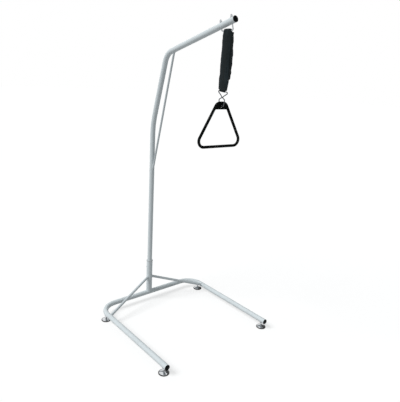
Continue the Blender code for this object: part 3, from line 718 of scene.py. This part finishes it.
slot_outline = [(1, 18), (0.7, 20.5), (-0.7, 20.5), (-1, 18)]
slot_outline += [(-x, -across) for x, across in slot_outline]
mouth = [[hung(x * half, across, z) for x, across in slot_outline]
         for z, half in ((1390, 4.6), (1399, 4.4), (1412, 3.2), (1424, 2.6))]
bar_ends = [at(0, STRAP_TOP - 45, BAR_Z), at(0, STRAP_TOP + 45, BAR_Z)]
bar_way = mesh_of("bar_way", [swept(bar_ends, BAR_CLEARANCE * MM, UP, 24)])
cutters = [shaper(padding, mesh_of("sleeve_mouth", [mouth])), shaper(padding, bar_way)]
settle(padding)
for obj in cutters:
    bpy.data.objects.remove(obj)
padding.data.shade_smooth()
padding.data.set_sharp_from_angle(angle=math.radians(50))
padding.data.materials.clear()
padding.data.materials.append(sleeve_cloth)
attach(padding, "strap")
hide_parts("strap_sleeve")

strip_rings = []
for k in range(STRIP_RINGS):
    z = STRIP_LOW + (STRIP_HIGH - STRIP_LOW) * k / (STRIP_RINGS - 1)
    edge = sleeve_reach(z, -1, 0.4)
    wave = 0.7 * math.sin(z / 7.3) + 0.4 * math.sin(z / 3.1 + 1)
    outline = [(1, 22), (1, edge - 4), (0.92, edge - 1.4), (0.5, edge - 0.3), (0, edge)]
    outline += [(-out, across) for out, across in outline[-2::-1]]
    strip_rings.append([
        hung(out * STRIP_HALF + wave * max(0.0, (across - 30) / 14), -across, z)
        for out, across in outline])
strip = add_piece("sleeve_closing_strip", mesh_of("sleeve_closing_strip", [strip_rings]),
                  hook_and_loop, "strap")


# Sleeve stitching
# Bonded black thread in lock stitch, in a row over the sleeve's top and its hem and in
# two rows down the closing strip, on both faces.
thread = new_finish("dark_thread", Sheen_Weight=0.2)
vary(Base_Color=mix(noise(900), (0.016, 0.02, 0.022, 1), (0.035, 0.04, 0.043, 1)),
     Roughness=0.5 + 0.2 * noise(600))
STITCH = 2.6
STITCH_SPACING = 3.6
STITCH_RADII = [0.18 * MM, 0.34 * MM, 0.34 * MM, 0.18 * MM]
TOP_ROW_Z = 1670
HEM_ROW_Z = 1403.5


def stitch_row(start, end, faces):
    """Stitches from one point of across and height to another, on both faces of the cloth."""
    run = math.hypot(end[0] - start[0], end[1] - start[1])
    stacks = []
    for k in range(int(run / STITCH_SPACING)):
        for side in (-1, 1):
            path = []
            for share in (0, 0.3, 0.7, 1):
                s = (k * STITCH_SPACING + share * STITCH) / run
                across = start[0] + (end[0] - start[0]) * s
                z = start[1] + (end[1] - start[1]) * s
                origin = hung(side * 40, across, z)
                hit = faces.ray_cast(origin, Vector((-side, 0, 0)))[0]
                if hit is not None:
                    lift = 0.25 if share in (0.3, 0.7) else -0.1
                    path.append(hit + Vector((side * lift * MM, 0, 0)))
            if len(path) == len(STITCH_RADII):
                stacks.append(swept(path, STITCH_RADII, Vector((side, 0, 0)), 6))
    return stacks


padding_faces = faces_of(padding.data)
strip_faces = faces_of(strip.data)
stitches = stitch_row((24, TOP_ROW_Z), (-21, TOP_ROW_Z), padding_faces)
stitches += stitch_row((23.5, HEM_ROW_Z), (-26, HEM_ROW_Z), padding_faces)
turns = [STRIP_LOW + 4 + 14.4 * k for k in range(15)]
for inset in (2.6, 9.0):
    for low, high in zip(turns, turns[1:]):
        ends = [(inset - sleeve_reach(z, -1, 0.4), z) for z in (low, high)]
        stitches += stitch_row(*ends, strip_faces)
add_piece("sleeve_stitching", mesh_of("sleeve_stitching", stitches), thread,
          "strap")


# Wire link
# One length of 5 mm zinc plated wire, bent to a figure of eight: a wide loop for the strap
# over a narrow one for the handle. Its ends are butt welded inside the strap's loop.
WIRE_R = 2.5
LINK_REAR = 37.5
LINK_FRONT = 48.5
CROSSING_AHEAD = 3
CROSSING = at(0, STRAP_TOP + STRAP_DRIFT - CROSSING_AHEAD, 1364.5)
LINK_BEND = 5
LOOP_CORNER = 20.5
LOOP_CORNER_BEND = 8
LOOP_FOOT = 14
LOOP_FOOT_BEND = 12
PIVOT_Z = 1319
PASSING_OFFSET = 2.8
PASSING_LENGTH = 34


def link_point(across, z):
    """A point of the link's middle plane, from the line that the strap hangs on."""
    return at(0, STRAP_TOP + STRAP_DRIFT + across, z)


def rounded(corners, radii, step):
    """A closed line of straight runs and arcs."""
    points = []
    for k, (corner, radius) in enumerate(zip(corners, radii)):
        if radius == 0:
            points.append(corner)
            continue
        back = (corners[k - 1] - corner).normalized()
        ahead = (corners[(k + 1) % len(corners)] - corner).normalized()
        half = back.angle(ahead) / 2
        centre = corner + (back + ahead).normalized() * radius * MM / math.sin(half)
        first = corner + back * radius * MM / math.tan(half) - centre
        turn = math.pi - 2 * half
        steps = math.ceil(turn / step)
        axis = ahead.cross(back)
        points += [centre + Quaternion(axis, turn * n / steps) @ first for n in range(steps + 1)]
    return points


def passing(start, end, side):
    """Points where a strand steps aside to pass the other at the crossing."""
    way = (end - start).normalized()
    aside = [(d, PASSING_OFFSET * math.cos(math.pi * d / PASSING_LENGTH) ** 2)
             for d in range(-16, 17, 2)]
    return [CROSSING + d * MM * way + Vector((side * x * MM, 0, 0)) for d, x in aside]


upper_rear = link_point(LINK_REAR, LINK_Z + LINK_SLOPE * LINK_REAR)
upper_front = link_point(-LINK_FRONT, LINK_Z - LINK_SLOPE * LINK_FRONT)
lower_front = upper_rear + ((CROSSING - upper_rear) * (LOOP_CORNER + LINK_REAR)
                            / (LINK_REAR + CROSSING_AHEAD))
lower_rear = upper_front + ((CROSSING - upper_front) * (LOOP_CORNER + LINK_FRONT)
                            / (LINK_FRONT - CROSSING_AHEAD))
near = passing(upper_rear, lower_front, -1)
far = passing(lower_rear, upper_front, 1)
corners = [upper_rear, *near, lower_front, link_point(-LOOP_FOOT, PIVOT_Z),
           link_point(LOOP_FOOT, PIVOT_Z), lower_rear, *far, upper_front]
plain = [0] * len(near)
bends = [LINK_BEND, *plain, LOOP_CORNER_BEND, LOOP_FOOT_BEND]
line = rounded(corners, bends + bends[::-1], math.radians(9))
# Painted shade and painted dark reflection: the same zinc plate, made far darker for the thin link
# wire.
shaded_link_zinc = zinc_finish("link_zinc_plate_painted_shade", (0.155, 0.165, 0.175, 1), (0.09, 0.098, 0.105, 1))
wire = mesh_of("figure_of_eight_link",
               [swept(line, WIRE_R * MM, Vector((1, 0, 0)), 16, closed=True)], closed=True)
wire = add_piece("figure_of_eight_link", wire, shaded_link_zinc, "link")
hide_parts("handle_link")


# Triangular handle
# Injection moulded in black nylon: a round grip bent to a triangle, with a flat web and a
# flared eye for the wire. Fine parting lines run round the inside and outside of the grip.
GRIP_R = 7.3
GRIP_SIDES = 56
GRIP_HALF = 149
GRIP_Z = 1121.5
TOP_Z = 1335.9
APEX_Z = 1382
WEB_Z = 1305
WEB_HALF = 5
GRIP_CORNER = 31
SHOULDER = 27
EYE_Z = 1318.7
EYE_THROAT = 3.35
EYE_SIDES = 48
LIMB_LEAN = GRIP_HALF / (APEX_Z - GRIP_Z)
HANDLE_TURN = Quaternion((0, 0, 1), math.radians(-3.9))
THROUGH = HANDLE_TURN @ BACK


def on_handle(u, z):
    """A point of the handle's middle plane, across it and up."""
    return link_point(0, PIVOT_Z) + HANDLE_TURN @ Vector((u, 0, z - PIVOT_Z)) * MM


def limb(z, inset=0.0):
    """How far a limb's middle is from the handle's at a height, less an inset."""
    return LIMB_LEAN * (APEX_Z - z) - inset


def mould_line(angle):
    """The grip's radius: round, but for the parting line, inside and outside."""
    return GRIP_R - 0.12 + 0.12 * max(0.0, abs(math.cos(angle)) - 0.992) / 0.008


corners = [on_handle(-GRIP_HALF, GRIP_Z), on_handle(GRIP_HALF, GRIP_Z),
           on_handle(limb(TOP_Z), TOP_Z), on_handle(-limb(TOP_Z), TOP_Z)]
radii = [GRIP_CORNER, GRIP_CORNER, SHOULDER, SHOULDER]
line = rounded(corners, radii, math.radians(4))
rings = []
for k, point in enumerate(line):
    out = (line[(k + 1) % len(line)] - line[k - 1]).normalized().cross(THROUGH)
    rings.append([point + mould_line(a) * MM * (math.cos(a) * out + math.sin(a) * THROUGH)
                  for a in (math.tau * n / GRIP_SIDES for n in range(GRIP_SIDES))])
grip_plastic = moulded_black("black_grip_plastic", 1900, 0.00004, 0.5)
handle = add_piece("moulded_handle", mesh_of("grip", [rings], closed=True), grip_plastic,
                   "handle")

# The web's ends run on inside the limbs, so that no edge of it shows beside them.
low = WEB_Z - 7
hidden = 5.2 * math.hypot(1, LIMB_LEAN)
rim = [on_handle(-limb(low), low), on_handle(-limb(low, hidden), low),
       on_handle(-limb(WEB_Z, hidden), WEB_Z), on_handle(limb(WEB_Z, hidden), WEB_Z),
       on_handle(limb(low, hidden), low), on_handle(limb(low), low), *corners[2:]]
rim = rounded(rim, [0, 0, 8, 8, 0, 0, SHOULDER, SHOULDER], math.radians(7))
web = [[point + side * WEB_HALF * MM * THROUGH for point in rim] for side in (-1, 1)]
web = shaper(handle, mesh_of("web", [web]), "UNION")
soft = web.modifiers.new("soft_edges", "BEVEL")
soft.width = 0.9 * MM
soft.segments = 3
soft.limit_method = "ANGLE"
soft.angle_limit = math.radians(60)


def flare(y):
    """The eye's radius: narrowest in the middle of the web, and rounded over at its faces."""
    return EYE_THROAT + 0.45 * math.hypot(y, 0.5) + 0.5 * max(0.0, abs(y) - 3.6) ** 2


depths = [-8] + [0.5 * n for n in range(-10, 11)] + [8]
eye = turned([(flare(max(-WEB_HALF, min(WEB_HALF, y))), y) for y in depths], EYE_SIDES,
             on_handle(0, EYE_Z), THROUGH)
eye = shaper(handle, mesh_of("eye", [eye]))
settle(handle)
for obj in (web, eye):
    bpy.data.objects.remove(obj)
handle.data.shade_smooth()
handle.data.set_sharp_from_angle(angle=SHARP_EDGE)
handle.modifiers.new("even_shading", "WEIGHTED_NORMAL").keep_sharp = True
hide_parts("triangle_handle")


# Studio and camera
# A pale floor and soft light from the upper left, as the photograph has, against white.
# The camera stands where the frame's edges in the photograph put it.
def stage_plane(name, size, place, facing, material):
    """A square sheet that belongs to the studio."""
    mesh = bpy.data.meshes.new(name)
    h = size / 2
    mesh.from_pydata([(-h, -h, 0), (h, -h, 0), (h, h, 0), (-h, h, 0)], [], [(0, 1, 2, 3)])
    mesh.materials.append(material)
    obj = bpy.data.objects.new(name, mesh)
    bpy.context.scene.collection.objects.link(obj)
    obj.location = place
    obj.rotation_mode = "QUATERNION"
    obj.rotation_quaternion = Vector(facing).to_track_quat("Z", "Y")
    return obj


def seen_directly():
    """1 for what the camera sees, straight or in a reflection, and 0 for lighting."""
    ways = [Wire.node("ShaderNodeLightPath", {}, {}, "Is %s Ray" % kind)
            for kind in ("Camera", "Glossy", "Transmission")]
    return Wire.math("MINIMUM", ways[0] + ways[1] + ways[2], 1.0)


floor_paint = new_finish("pale_floor_paint")
matt = Wire.node("ShaderNodeBsdfDiffuse", {}, {"Color": (0.42, 0.42, 0.42, 1)})
glow = Wire.node("ShaderNodeEmission", {}, {"Strength": seen_directly() * 0.6})
both = Wire.node("ShaderNodeAddShader", {}, {0: matt, 1: glow})
Wire.tree.links.new(both.output, Wire.tree.nodes["Material Output"].inputs["Surface"])
stage_plane("pale_floor", 60, (0, 0, -0.0005), (0, 0, 1), floor_paint)

# Two dark cloths beside the pole, which show only as reflections in its bright metal
flag_cloth = new_finish("dark_studio_flag", Base_Color=(0.1, 0.1, 0.1, 1),
                        Specular_IOR_Level=0.0)
for size, place, facing in ((3.2, (1.75, -1.5, 1.3), (-0.76, 0.65, -0.1)),
                            (3.6, (2.4, 0.2, 1.8), (-1, 0, 0))):
    flag = stage_plane("studio_flag", size, place, facing, flag_cloth)
    flag.visible_camera = False
    flag.visible_diffuse = False
    flag.visible_shadow = False

AMBIENT = 0.42
world = bpy.data.worlds.new("white_studio")
world.use_nodes = True
bpy.context.scene.world = world
Wire.tree = world.node_tree
shown = seen_directly()
sky_tint = mix(shown, (0.95, 0.99, 1.0, 1), (1, 1, 1, 1))
light_level = AMBIENT + (1 - AMBIENT) * shown
sky = Wire.tree.nodes["Background"].inputs
Wire.tree.links.new(sky_tint.output, sky["Color"])
Wire.tree.links.new(light_level.output, sky["Strength"])

key = bpy.data.lights.new("key_light", "SUN")
key.energy = 2.4
key.angle = math.radians(28)
key_light = bpy.data.objects.new("key_light", key)
bpy.context.scene.collection.objects.link(key_light)
key_light.visible_glossy = False
key_light.rotation_mode = "QUATERNION"
key_light.rotation_quaternion = Vector((0.648, -0.185, -0.74)).to_track_quat("-Z", "Y")

PICTURE_WIDTH = 400
FOCAL_LENGTH = 433.51
SENSOR = 36
camera = bpy.data.objects.new("camera", bpy.data.cameras.new("camera"))
bpy.context.scene.collection.objects.link(camera)
camera.data.sensor_fit = "HORIZONTAL"
camera.data.sensor_width = SENSOR
camera.data.lens = FOCAL_LENGTH / PICTURE_WIDTH * SENSOR
azimuth, elevation, roll = (math.radians(angle) for angle in (-41.05, 16.16, 3.27))
back = Vector((math.sin(azimuth) * math.cos(elevation),
               -math.cos(azimuth) * math.cos(elevation), math.sin(elevation)))
camera.location = (-1.49242, -1.84067, 1.46129)
camera.rotation_mode = "QUATERNION"
camera.rotation_quaternion = (-back).to_track_quat("-Z", "Y") @ Quaternion((0, 0, 1), roll)
bpy.context.scene.camera = camera
bpy.context.scene.view_settings.view_transform = "Standard"
